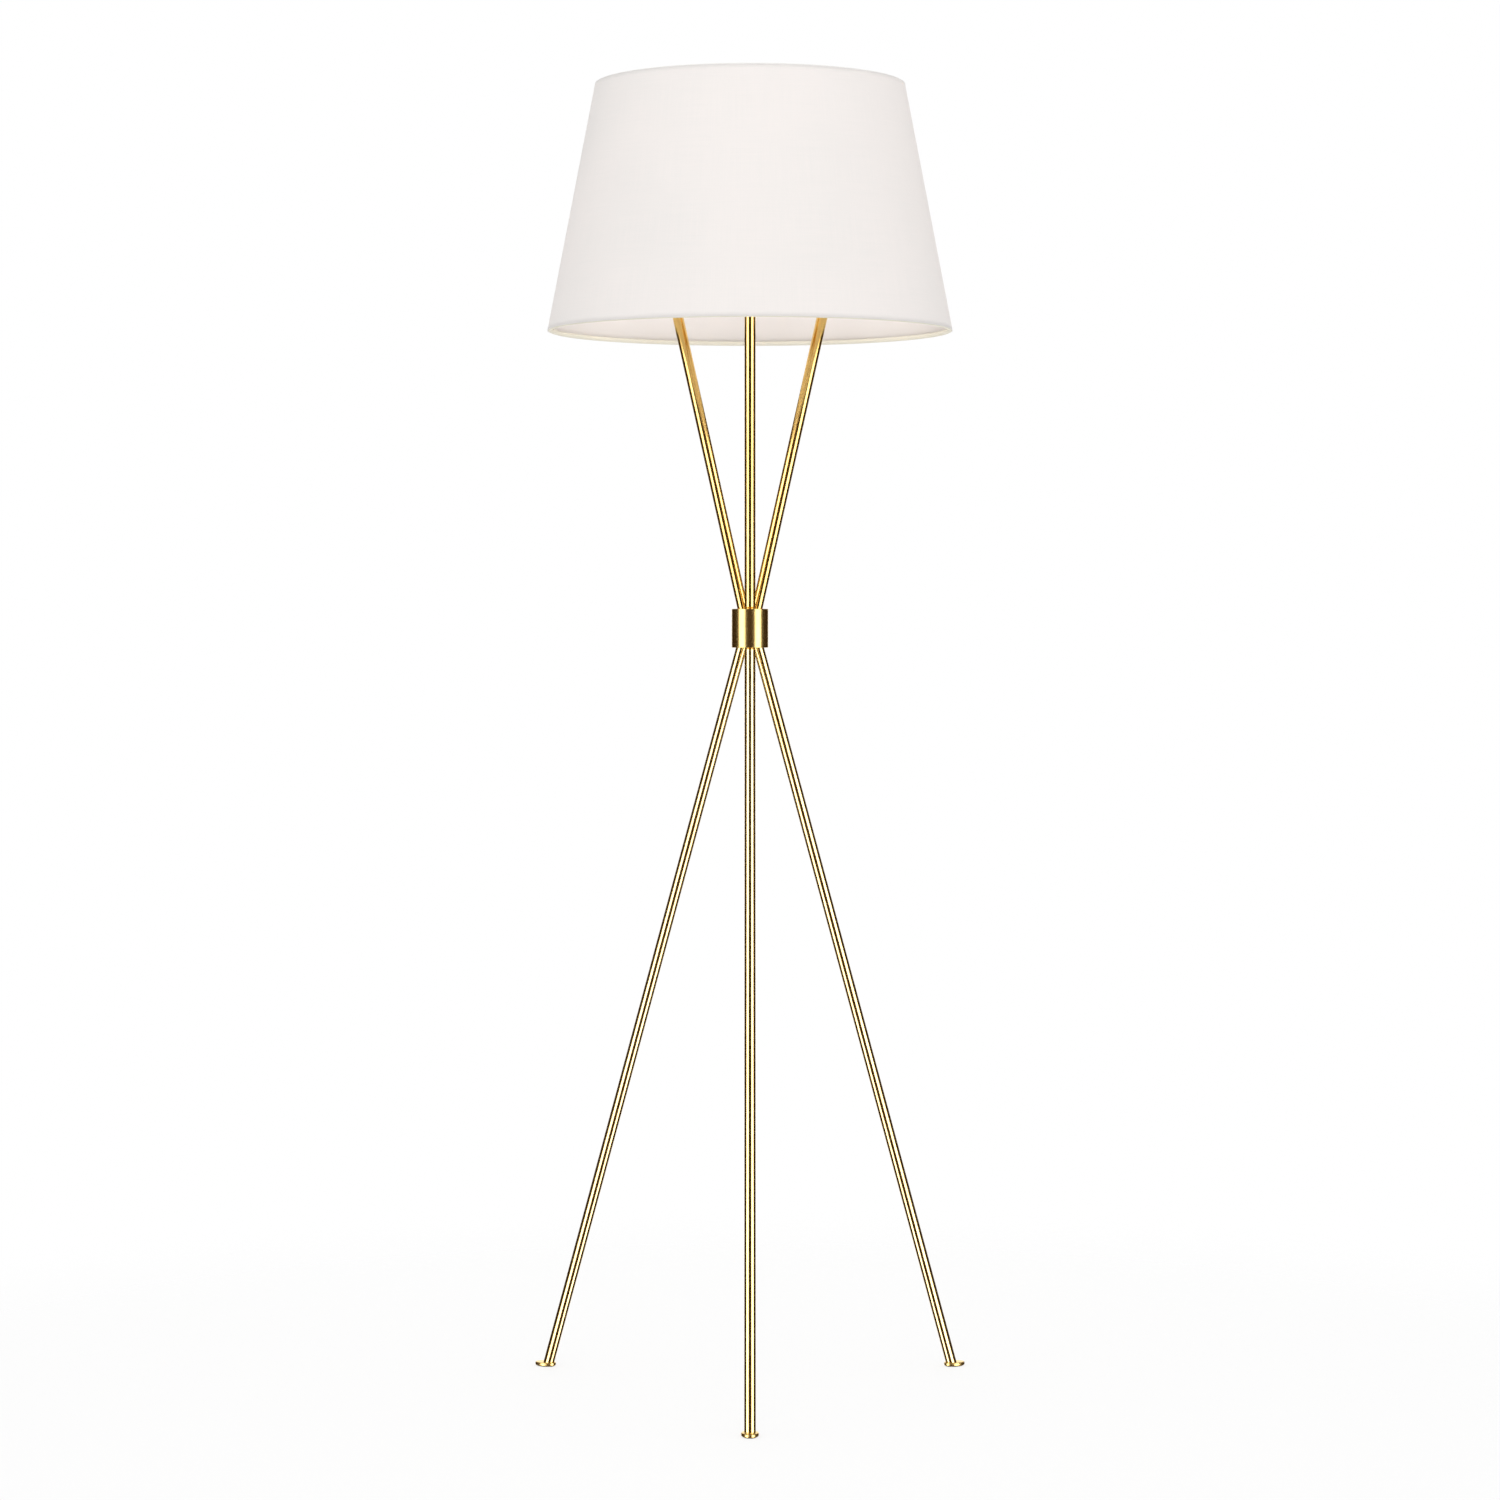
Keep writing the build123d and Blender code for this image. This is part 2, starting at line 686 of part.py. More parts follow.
terminal_azimuths = (0, 180)
terminal_outside = body_radius - terminal_clearance
with BuildPart() as socket_body:
    with BuildSketch(Plane.XY.offset(body_bottom)):
        Circle(body_radius)
    extrude(amount=body_height)
    with BuildSketch(radial_plane(-90, -key_shaft_radius, key_level)):
        Circle(key_shaft_radius + key_fit)
    extrude(amount=2 * body_radius, mode=Mode.SUBTRACT)
    for azimuth in terminal_azimuths:
        with BuildSketch(radial_plane(azimuth, terminal_outside - terminal_head_height, key_level)):
            Circle(terminal_head_radius + terminal_clearance)
        extrude(amount=body_radius, mode=Mode.SUBTRACT)
        with BuildSketch(radial_plane(azimuth, terminal_outside - terminal_length, key_level)):
            Circle(terminal_shank_radius + grub_clearance)
        extrude(amount=terminal_length, mode=Mode.SUBTRACT)
socket_body.part.label = "socket_body"
export_step(socket_body.part, "parts/socket_body.step")

with BuildPart() as terminal_screws:
    for azimuth in terminal_azimuths:
        with BuildSketch(radial_plane(azimuth, terminal_outside - terminal_length, key_level)):
            Circle(terminal_shank_radius)
        extrude(amount=terminal_length)
        with BuildSketch(radial_plane(azimuth, terminal_outside - terminal_head_height, key_level)):
            Circle(terminal_head_radius)
        extrude(amount=terminal_head_height)
        with BuildSketch(radial_plane(azimuth, terminal_outside, key_level)):
            Rectangle(2 * terminal_head_radius, terminal_head_height / 3)
        extrude(amount=-terminal_head_height / 2, mode=Mode.SUBTRACT)
terminal_screws.part.label = "terminal_screws"
export_step(terminal_screws.part, "parts/terminal_screws.step")

with BuildPart() as screw_shell:
    with BuildSketch(Plane.XY.offset(body_top)):
        Circle(screw_shell_radius + screw_shell_wall)
        Circle(screw_shell_radius, mode=Mode.SUBTRACT)
    extrude(amount=screw_shell_height)
screw_shell.part.label = "screw_shell"
export_step(screw_shell.part, "parts/screw_shell.step")

with BuildPart() as centre_contact:
    with BuildSketch(Plane.XZ):
        with BuildLine():
            Polyline(
                (-contact_radius, body_top),
                (contact_radius, body_top),
                (contact_radius, body_top + contact_sheet),
                (contact_radius / 2, body_top + contact_height),
                (-contact_radius / 2, body_top + contact_height),
                (-contact_radius / 2, body_top + contact_height - contact_sheet),
                (contact_radius / 4, body_top + contact_height - contact_sheet),
                (contact_radius / 2, body_top + contact_sheet),
                (-contact_radius, body_top + contact_sheet),
                close=True,
            )
        make_face()
    extrude(amount=contact_radius / 2, both=True)
centre_contact.part.label = "centre_contact"
export_step(centre_contact.part, "parts/centre_contact.step")

with BuildPart() as switch_key:
    with BuildSketch(radial_plane(-90, -key_shaft_radius / 2, key_level)):
        Circle(key_shaft_radius)
    extrude(amount=key_shaft_length + key_shaft_radius / 2)
    paddle_centre = Vector(0, -key_shaft_length - key_paddle_length / 2, key_level)
    with BuildSketch(Plane(origin=paddle_centre, x_dir=(1, 0, 0), z_dir=(0, 0, 1))):
        RectangleRounded(key_paddle_width, key_paddle_length, 0.45 * key_paddle_width)
    extrude(amount=key_paddle_thickness / 2, both=True)
    collar_plane = radial_plane(-90, key_shaft_length - key_paddle_thickness, key_level)
    with BuildSketch(collar_plane):
        Circle(1.4 * key_shaft_radius)
    extrude(amount=1.5 * key_paddle_thickness)
switch_key.part.label = "switch_key"
export_step(switch_key.part, "parts/switch_key.step")

# ---------------------------------------------------------------- bulb

bulb_tip = body_top + contact_height + bulb_gap
thread_bottom = bulb_tip + bulb_contact_height + bulb_insulator_height

with BuildPart() as bulb_contact:
    # the contact button and the glass insulator round it
    with BuildSketch(Plane.XZ):
        with BuildLine():
            Polyline(
                (0, bulb_tip),
                (bulb_contact_radius, bulb_tip),
                (bulb_contact_radius, bulb_tip + bulb_contact_height),
                (bulb_thread_radius - bulb_thread_depth - bulb_base_wall - bulb_joint, thread_bottom),
                (0, thread_bottom),
                close=True,
            )
        make_face()
    revolve(axis=Axis.Z)
    fillet(bulb_contact.edges().group_by(Axis.Z)[0], radius=bulb_contact_height / 2)
bulb_contact.part.label = "bulb_contact"
export_step(bulb_contact.part, "parts/bulb_contact.step")

with BuildPart() as bulb_base:
    with BuildSketch(Plane.XY.offset(thread_bottom)):
        Circle(bulb_thread_radius)
        Circle(bulb_thread_radius - bulb_thread_depth - bulb_base_wall, mode=Mode.SUBTRACT)
    extrude(amount=bulb_tip + bulb_base_height - thread_bottom)
    for turn in range(bulb_thread_turns):
        groove_height = thread_bottom + (turn + 0.5) * bulb_thread_pitch
        with BuildSketch(Plane.XZ):
            with Locations((bulb_thread_radius, groove_height)):
                Ellipse(bulb_thread_depth, bulb_thread_pitch / 3)
        revolve(axis=Axis.Z, mode=Mode.SUBTRACT)
bulb_base.part.label = "bulb_base"
export_step(bulb_base.part, "parts/bulb_base.step")

housing_bottom = bulb_tip + bulb_base_height + bulb_joint
housing_top = bulb_tip + bulb_housing_height
globe_top = bulb_tip + bulb_height
globe_centre = globe_top - bulb_globe_radius
housing_drop = globe_centre - housing_top  # the housing ends on the globe's own sphere
housing_rim = (bulb_globe_radius**2 - housing_drop**2) ** 0.5
rim_bore = housing_rim - bulb_housing_wall
with BuildPart() as bulb_housing:
    with BuildSketch(Plane.XZ):
        with BuildLine():
            Line((0, housing_bottom), (bulb_thread_radius, housing_bottom))
            Spline(
                (bulb_thread_radius, housing_bottom),
                (housing_rim, housing_top),
                tangents=[(0.15, 1), (housing_drop / housing_rim, 1)],
            )
            Polyline((housing_rim, housing_top), (0, housing_top), (0, housing_bottom))
        make_face()
    revolve(axis=Axis.Z)
    # hollow, open at the top under the globe
    with BuildSketch(Plane.XZ):
        with BuildLine():
            Polyline(
                (0, housing_bottom + bulb_housing_wall),
                (bulb_thread_radius - bulb_housing_wall, housing_bottom + bulb_housing_wall),
                (rim_bore, housing_top),
                (0, housing_top),
                close=True,
            )
        make_face()
    revolve(axis=Axis.Z, mode=Mode.SUBTRACT)
bulb_housing.part.label = "bulb_housing"
export_step(bulb_housing.part, "parts/bulb_housing.step")

with BuildPart() as bulb_globe:
    with Locations((0, 0, globe_centre)):
        Sphere(bulb_globe_radius)
        Sphere(bulb_globe_radius - bulb_wall, mode=Mode.SUBTRACT)
    split(bisect_by=Plane.XY.offset(housing_top + bulb_joint), keep=Keep.TOP)
bulb_globe.part.label = "bulb_globe"
export_step(bulb_globe.part, "parts/bulb_globe.step")

# ---------------------------------------------------------------- harp saddle and harp

lap_bottom = bracket_top + post_height
lap_top = lap_bottom + lap_length

with BuildPart() as harp_saddle:
    with BuildSketch(Plane.XY.offset(bracket_top)):
        SlotOverall(2 * (harp_foot + saddle_end), saddle_width)
        Circle(pipe_radius + pipe_clearance, mode=Mode.SUBTRACT)
    extrude(amount=saddle_sheet)
    with BuildSketch(Plane.XY.offset(bracket_top)):
        with Locations((-harp_foot, 0), (harp_foot, 0)):
            Circle(harp_wire_radius)
    extrude(amount=post_height + lap_length)
    # the posts' upper ends are halved on the inner side, where the harp's ends lap them
    with BuildSketch(Plane.XY.offset(lap_bottom)):
        Rectangle(2 * (harp_foot + lap_gap), 3 * harp_wire_radius)
    extrude(amount=lap_length, mode=Mode.SUBTRACT)
harp_saddle.part.label = "harp_saddle"
export_step(harp_saddle.part, "parts/harp_saddle.step")

seat_height = bracket_top + harp_size
block_top = seat_height - stud_seat_height - stud_gap
block_bottom = block_top - block_height
crown_height = (block_top + block_bottom) / 2

with BuildPart() as harp:
    for side in (-1, 1):
        with BuildLine(Plane.XZ) as bow:
            FilletPolyline(
                (side * harp_foot, lap_bottom + foot_gap),
                (side * harp_foot, bracket_top + harp_first_bend_height),
                (side * harp_reach, bracket_top + harp_wide_height),
                (side * harp_shoulder, bracket_top + harp_shoulder_height),
                (side * harp_head, crown_height),
                (0, crown_height),
                radius=harp_bends,
            )
        with BuildSketch(Plane.XY.offset(lap_bottom + foot_gap)):
            with Locations((side * harp_foot, 0)):
                Circle(harp_wire_radius)
        sweep(path=bow.line)
    with BuildSketch(Plane.XY.offset(block_bottom)):
        Circle(block_radius)
    extrude(amount=block_height)
    with BuildSketch(Plane.XY.offset(block_bottom)):
        Circle(stud_pin_radius + stud_pin_fit)
    extrude(amount=block_height, mode=Mode.SUBTRACT)
    # the ends are halved on the outer side to lap the posts
    with BuildSketch(Plane.XY.offset(lap_bottom)):
        Rectangle(2 * (harp_foot + 2 * harp_wire_radius), 3 * harp_wire_radius)
        Rectangle(2 * (harp_foot - lap_gap), 3 * harp_wire_radius, mode=Mode.SUBTRACT)
    extrude(amount=lap_length + foot_gap, mode=Mode.SUBTRACT)
harp.part.label = "harp"
export_step(harp.part, "parts/harp.step")

sleeve_bore = harp_wire_radius + sleeve_clearance
for name, side in (("left", -1), ("right", 1)):
    with BuildPart() as harp_sleeve:
        with BuildSketch(Plane.XY.offset(bracket_top + sleeve_base)):
            with Locations((side * harp_foot, 0)):
                Circle(sleeve_bore + sleeve_wall)
                Circle(sleeve_bore, mode=Mode.SUBTRACT)
        extrude(amount=sleeve_height)
        with BuildSketch(Plane.XY.offset(bracket_top + sleeve_base)):
            with Locations((side * harp_foot, 0)):
                Circle(sleeve_bore + sleeve_wall + sleeve_bead)
                Circle(sleeve_bore, mode=Mode.SUBTRACT)
        extrude(amount=sleeve_bead_height)
        fillet(
            harp_sleeve.edges().filter_by(GeomType.CIRCLE).sort_by(SortBy.RADIUS)[-2:],
            radius=0.6 * sleeve_bead,
        )
    harp_sleeve.part.label = f"harp_sleeve_{name}"
    export_step(harp_sleeve.part, f"parts/harp_sleeve_{name}.step")

with BuildPart() as harp_stud:
    with BuildSketch(Plane.XY.offset(block_bottom - stud_gap - rivet_height)):
        Circle(rivet_radius)
    extrude(amount=rivet_height)
    fillet(harp_stud.edges().filter_by(GeomType.CIRCLE).group_by(Axis.Z)[0], radius=0.4 * rivet_height)
    with BuildSketch(Plane.XY.offset(block_bottom - stud_gap)):
        Circle(stud_pin_radius)
    extrude(amount=block_height + 2 * stud_gap)
    with BuildSketch(Plane.XY.offset(seat_height - stud_seat_height)):
        Circle(stud_seat_radius)
    extrude(amount=stud_seat_height)
    with BuildSketch(Plane.XY.offset(seat_height)):
        Circle(stud_radius)
    extrude(amount=stud_length)
    chamfer(harp_stud.edges().filter_by(GeomType.CIRCLE).group_by(Axis.Z)[-1], length=0.2 * stud_radius)
harp_stud.part.label = "harp_stud"
export_step(harp_stud.part, "parts/harp_stud.step")

# ---------------------------------------------------------------- shade

spider_thickness = 2 * spider_wire_radius
washer_height = seat_height + seat_gap
spider_level = washer_height + spider_wire_radius
shade_top = washer_height + spider_drop
shade_bottom = shade_top - shade_height
flare = (shade_bottom_radius - shade_top_radius) / shade_height
slant = (1 + flare**2) ** 0.5  # a wall's level thickness is this times its own


def shade_radius_at(height, depth=0.0):
    """The shade's radius at a height, at a depth inside its outer face."""
    return shade_bottom_radius - (height - shade_bottom) * flare - depth * slant


def shade_wall(depth, thickness, low, high):
    """The half section of one layer of the shade's wall."""
    Polyline(
        (shade_radius_at(low, depth), low),
        (shade_radius_at(high, depth), high),
        (shade_radius_at(high, depth + thickness), high),
        (shade_radius_at(low, depth + thickness), low),
        close=True,
    )


liner_depth = fabric_thickness + lamination_gap
ring_depth = liner_depth + liner_thickness + ring_gap + ring_wire_radius
wall_low = shade_bottom + hem_thickness + lamination_gap
wall_high = shade_top - hem_thickness - lamination_gap
bottom_ring_height = wall_low + ring_wire_radius + ring_gap
top_ring_height = wall_high - ring_wire_radius - ring_gap
bottom_ring_radius = shade_radius_at(bottom_ring_height, ring_depth)
top_ring_radius = shade_radius_at(top_ring_height, ring_depth)

with BuildPart() as shade_fabric:
    with BuildSketch(Plane.XZ):
        with BuildLine():
            shade_wall(0, fabric_thickness, wall_low, wall_high)
        make_face()
    revolve(axis=Axis.Z)
shade_fabric.part.label = "shade_fabric"
export_step(shade_fabric.part, "parts/shade_fabric.step")

with BuildPart() as shade_liner:
    with BuildSketch(Plane.XZ):
        with BuildLine():
            shade_wall(liner_depth, liner_thickness, wall_low, wall_high)
        make_face()
    revolve(axis=Axis.Z)
shade_liner.part.label = "shade_liner"
export_step(shade_liner.part, "parts/shade_liner.step")

with BuildPart() as shade_bottom_ring:
    with BuildSketch(Plane.XZ):
        with Locations((bottom_ring_radius, bottom_ring_height)):
            Circle(ring_wire_radius)
    revolve(axis=Axis.Z)
shade_bottom_ring.part.label = "shade_bottom_ring"
export_step(shade_bottom_ring.part, "parts/shade_bottom_ring.step")

with BuildPart() as shade_top_ring:
    with BuildSketch(Plane.XZ):
        with Locations((top_ring_radius, top_ring_height)):
            Circle(ring_wire_radius)
    revolve(axis=Axis.Z)
shade_top_ring.part.label = "shade_top_ring"
export_step(shade_top_ring.part, "parts/shade_top_ring.step")


def hem_section(edge, way, ring_radius):
    """The half section of a turned edge: across the wall's end, round the ring and back along its inner side."""
    inside = ring_radius - ring_wire_radius - ring_gap
    inner_end = edge + way * hem_width
    turn = edge + way * hem_thickness
    lean = flare * way * hem_width
    Polyline(
        (shade_radius_at(edge), edge),
        (inside - hem_thickness, edge),
        (inside - hem_thickness - max(lean, 0), inner_end),
        (inside - max(lean, 0), inner_end),
        (inside - max(flare * way * hem_thickness, 0), turn),
        (shade_radius_at(turn), turn),
        close=True,
    )


with BuildPart() as shade_bottom_hem:
    with BuildSketch(Plane.XZ):
        with BuildLine():
            hem_section(shade_bottom, 1, bottom_ring_radius)
        make_face()
    revolve(axis=Axis.Z)
shade_bottom_hem.part.label = "shade_bottom_hem"
export_step(shade_bottom_hem.part, "parts/shade_bottom_hem.step")

spider_slot = 2 * (spider_wire_radius + spider_slot_clearance)
with BuildPart() as shade_top_hem:
    with BuildSketch(Plane.XZ):
        with BuildLine():
            hem_section(shade_top, -1, top_ring_radius)
        make_face()
    revolve(axis=Axis.Z)
    # slits for the fitter's arms
    for azimuth in leg_azimuths.values():
        with BuildSketch(radial_plane(azimuth, top_ring_radius - ring_wire_radius, top_ring_height)):
            Rectangle(spider_slot, spider_slot)
        extrude(amount=-hem_width, mode=Mode.SUBTRACT)
shade_top_hem.part.label = "shade_top_hem"
export_step(shade_top_hem.part, "parts/shade_top_hem.step")

arm_tip = top_ring_radius - ring_wire_radius - weld_gap
with BuildPart() as shade_spider:
    with BuildSketch(Plane.XY.offset(washer_height)):
        Circle(spider_washer_radius)
        Circle(spider_hole_radius, mode=Mode.SUBTRACT)
    extrude(amount=spider_thickness)
    for azimuth in leg_azimuths.values():
        start = outward(azimuth) * (spider_washer_radius - spider_thickness) + Vector(0, 0, spider_level)
        low_bend = outward(azimuth) * (arm_tip - spider_step_inner) + Vector(0, 0, spider_level)
        high_bend = outward(azimuth) * (arm_tip - spider_step_outer) + Vector(0, 0, top_ring_height)
        tip = outward(azimuth) * arm_tip + Vector(0, 0, top_ring_height)
        with BuildLine() as arm_route:
            FilletPolyline(start, low_bend, high_bend, tip, radius=spider_bend)
        arm_root = radial_plane(azimuth, spider_washer_radius - spider_thickness, spider_level)
        with BuildSketch(arm_root):
            Circle(spider_wire_radius)
        sweep(path=arm_route.line)
shade_spider.part.label = "shade_spider"
export_step(shade_spider.part, "parts/shade_spider.step")

# ---------------------------------------------------------------- finial

finial_bottom = washer_height + spider_thickness + seat_gap
finial_top = finial_bottom + finial_height
knob_height = finial_top - finial_knob_radius
with BuildPart() as finial:
    with BuildSketch(Plane.XZ):
        with BuildLine():
            Polyline(
                (0, finial_bottom),
                (finial_base_radius, finial_bottom),
                (finial_base_radius, finial_bottom + finial_base_height),
                (finial_neck_radius, finial_bottom + 2 * finial_base_height),
                (finial_neck_radius, knob_height),
                (0, knob_height),
                close=True,
            )
        make_face()
    revolve(axis=Axis.Z)
    with Locations((0, 0, knob_height)):
        Sphere(finial_knob_radius)
    with BuildSketch(Plane.XY.offset(finial_bottom)):
        Circle(stud_radius + finial_fit)
    extrude(amount=stud_length, mode=Mode.SUBTRACT)
finial.part.label = "finial"
export_step(finial.part, "parts/finial.step")
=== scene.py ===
from math import asin, cos, hypot, pi, radians, sin, tau

import bmesh
import bpy
from mathutils import Matrix, Vector


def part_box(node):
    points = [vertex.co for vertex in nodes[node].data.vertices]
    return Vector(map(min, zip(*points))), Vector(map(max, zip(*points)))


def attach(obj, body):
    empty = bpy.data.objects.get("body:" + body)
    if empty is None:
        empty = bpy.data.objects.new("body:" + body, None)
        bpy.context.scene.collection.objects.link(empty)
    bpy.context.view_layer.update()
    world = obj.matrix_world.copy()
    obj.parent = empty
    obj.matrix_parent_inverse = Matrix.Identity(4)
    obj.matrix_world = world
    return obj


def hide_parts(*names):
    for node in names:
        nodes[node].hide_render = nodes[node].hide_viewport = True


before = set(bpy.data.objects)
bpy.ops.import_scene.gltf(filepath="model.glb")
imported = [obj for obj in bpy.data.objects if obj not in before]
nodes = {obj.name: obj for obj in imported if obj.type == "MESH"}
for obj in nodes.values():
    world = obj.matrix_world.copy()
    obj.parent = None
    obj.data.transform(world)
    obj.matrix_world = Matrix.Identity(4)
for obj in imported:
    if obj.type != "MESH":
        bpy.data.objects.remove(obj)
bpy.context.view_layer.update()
scene = bpy.context.scene
scene.view_settings.view_transform = "Standard"
print("frame loaded:", len(nodes), "nodes")

# camera: level, in front of the lamp, a long lens as for a catalogue picture
cameraSet = {
    "distance": 4.8116,
    "height": 0.9087,
    "lens": 96.93,
    "shiftY": -0.0833,
}


def makeCamera():
    data = bpy.data.cameras.new("camera")
    data.lens = cameraSet["lens"]
    data.sensor_width = 36
    data.shift_y = cameraSet["shiftY"]
    data.clip_end = 50
    camera = bpy.data.objects.new("camera", data)
    camera.location = (0, -cameraSet["distance"], cameraSet["height"])
    camera.rotation_euler = (radians(90), 0, 0)
    scene.collection.objects.link(camera)
    scene.camera = camera


# a value on its way between shader nodes, where + - * and ** add Math nodes
class Signal:
    def __init__(self, recipe, socket):
        self.recipe = recipe
        self.socket = socket

    def maths(self, operation, *values):
        return self.recipe.node("ShaderNodeMath", {"operation": operation}, list(values))

    def __add__(self, other):
        return self.maths("ADD", self, other)

    def __radd__(self, other):
        return self.maths("ADD", other, self)

    def __sub__(self, other):
        return self.maths("SUBTRACT", self, other)

    def __rsub__(self, other):
        return self.maths("SUBTRACT", other, self)

    def __mul__(self, other):
        return self.maths("MULTIPLY", self, other)

    def __rmul__(self, other):
        return self.maths("MULTIPLY", other, self)

    def __pow__(self, other):
        return self.maths("POWER", self, other)

    def sine(self):
        return self.maths("SINE", self)

    def rise(self, low, high):  # 0 below low, 1 above high, eased between
        return self.recipe.node(
            "ShaderNodeMapRange",
            {"interpolation_type": "SMOOTHSTEP"},
            {"Value": self, "From Min": low, "From Max": high},
            "Result",
        )

    def within(self, other):
        return self.maths("MINIMUM", self, other)


class Recipe:
    def __init__(self, name, tree=None):
        if tree is None:
            self.material = bpy.data.materials.new(name)
            self.material.use_nodes = True
            tree = self.material.node_tree
        self.tree = tree
        self.tree.nodes.clear()

    # any node: its settings first, then the values or links of its sockets
    def node(self, kind, settings=None, inputs=None, output=0):
        made = self.tree.nodes.new(kind)
        for key, value in (settings or {}).items():
            setattr(made, key, value)
        pairs = enumerate(inputs) if isinstance(inputs, list) else (inputs or {}).items()
        for key, value in pairs:
            socket = made.inputs[key]
            if isinstance(value, Signal):
                self.tree.links.new(value.socket, socket)
            elif socket.type == "RGBA" and len(value) == 3:
                socket.default_value = (*value, 1)
            else:
                socket.default_value = value
        return Signal(self, made.outputs[output]) if made.outputs else None

    def place(self):
        return self.node("ShaderNodeTexCoord", output="Object")

    def axes(self, vector):
        split = self.node("ShaderNodeSeparateXYZ", None, [vector])
        outputs = split.socket.node.outputs
        return [Signal(self, outputs[i]) for i in range(3)]

    # coordinates in a frame turned to a direction, in units of a grain's own size
    def along(self, direction, size):
        turn = Vector(direction).to_track_quat("Z", "Y").to_euler()
        inputs = {"Vector": self.place(), "Rotation": turn, "Scale": size}
        return self.node("ShaderNodeMapping", {"vector_type": "TEXTURE"}, inputs)

    def noise(self, vector, scale, detail=2.0, roughness=0.5):
        inputs = {"Vector": vector, "Scale": scale, "Detail": detail, "Roughness": roughness}
        return self.node("ShaderNodeTexNoise", None, inputs)

    # sockets 6 and 7 of a Mix node set to colours are its A and B, and its output 2 the colour
    def mixed(self, factor, first, second):
        inputs = {0: factor, 6: first, 7: second}
        return self.node("ShaderNodeMix", {"data_type": "RGBA"}, inputs, 2)

    def bump(self, height, strength, distance):
        inputs = {"Height": height, "Strength": strength, "Distance": distance}
        return self.node("ShaderNodeBump", None, inputs)

    def surface(self, inputs):
        return self.node("ShaderNodeBsdfPrincipled", None, inputs)

    def finish(self, shader):
        self.node("ShaderNodeOutputMaterial", None, {"Surface": shader})
        return self.material


# light and floor
studio = {
    "surroundings": 1.0,  # how bright the plain white round the lamp is
    # tall lights that only polished metal shows
    "boxRadiance": 2.7,
    "boxAzimuth": 52,  # degrees from the camera's direction
    "boxWidth": 2.12,
    "boxHeight": 7.6,
    "boxDistance": 3.2,
    "boxMiddle": 0.4,
    # cards that only reflections see: start and end in the same degrees, and colour
    "cards": [
        (-30, 30, (0.045, 0.018, 0.002)),
        (74, 156, (0.04, 0.022, 0.008)),
        (-156, -74, (0.04, 0.022, 0.008)),
        (156, 204, (1.5, 1.45, 1.35)),
    ],
    "cardRadius": 3.6,
    "cardLow": -3.6,
    "cardHigh": 4.8,
    "cardSteps": 12,
    "lidColour": (0.08, 0.05, 0.02),
    "underColour": (0.14, 0.11, 0.07),
    # soft fills that matt surfaces see: watts, size, spread in degrees, place and aim
    "fills": {
        "front": (26, 2.0, 180, (0, -3.3, 2.7), (0, 0, 1.3)),
        "back": (10, 2.0, 180, (0, 3.3, 2.7), (0, 0, 1.3)),
        "inside": (0.3, 0.16, 108, (0, -0.16, 1.41), (0, 0.25, 1.24)),
    },
    # a lamp held inside the shade
    "insideWatts": 0.3,
    "insideColour": (1, 0.97, 0.94),
    "insideRadius": 0.012,
    "insideHeight": 1.495,
}
floorPaper = {
    "radius": 1.6,
    "fade": (0.5, 0.96),  # shares of the radius between which it fades out
    "tone": (0.84, 0.84, 0.84),
    "roughness": 0.9,
    "glow": 0.74,  # how far it shows as plain white
}


def makeWorld():
    world = bpy.data.worlds.new("studio")
    scene.world = world
    world.use_nodes = True
    recipe = Recipe("studio", world.node_tree)
    inputs = {"Color": (1, 1, 1), "Strength": studio["surroundings"]}
    background = recipe.node("ShaderNodeBackground", None, inputs)
    recipe.node("ShaderNodeOutputWorld", None, {"Surface": background})


def fromFront(azimuth, radius, height):  # a point at an angle from the camera's direction
    turn = radians(azimuth - 90)
    return Vector((radius * cos(turn), radius * sin(turn), height))


def makeSoftboxes():
    area = studio["boxWidth"] * studio["boxHeight"]
    for name, side in (("right", 1), ("left", -1)):
        data = bpy.data.lights.new(f"softbox_{name}", "AREA")
        data.shape = "RECTANGLE"
        data.size = studio["boxWidth"]
        data.size_y = studio["boxHeight"]
        data.energy = studio["boxRadiance"] * pi * area
        lamp = bpy.data.objects.new(f"softbox_{name}", data)
        azimuth = side * studio["boxAzimuth"]
        lamp.location = fromFront(azimuth, studio["boxDistance"], studio["boxMiddle"])
        lamp.rotation_euler = (radians(90), 0, radians(azimuth))
        lamp.visible_diffuse = False
        scene.collection.objects.link(lamp)


def makeFills():
    for name, (watts, size, spread, place, aim) in studio["fills"].items():
        data = bpy.data.lights.new(f"fill_{name}", "AREA")
        data.size = size
        data.spread = radians(spread)
        data.energy = watts
        lamp = bpy.data.objects.new(f"fill_{name}", data)
        lamp.location = place
        ahead = Vector(aim) - lamp.location
        lamp.rotation_euler = ahead.to_track_quat("-Z", "Y").to_euler()
        lamp.visible_camera = False
        lamp.visible_glossy = False
        scene.collection.objects.link(lamp)


def makeInsideLamp():
    data = bpy.data.lights.new("inside_lamp", "POINT")
    data.energy = studio["insideWatts"]
    data.color = studio["insideColour"]
    data.shadow_soft_size = studio["insideRadius"]
    lamp = bpy.data.objects.new("inside_lamp", data)
    lamp.location = (0, 0, studio["insideHeight"])
    scene.collection.objects.link(lamp)


def keepCard(bm, name, colour):
    mesh = bpy.data.meshes.new(name)
    bm.to_mesh(mesh)
    bm.free()
    card = bpy.data.objects.new(name, mesh)
    scene.collection.objects.link(card)
    recipe = Recipe(name)
    glow = recipe.node("ShaderNodeEmission", None, {"Color": colour})
    mesh.materials.append(recipe.finish(glow))
    for kind in ("camera", "diffuse", "transmission", "volume_scatter", "shadow"):
        setattr(card, f"visible_{kind}", False)


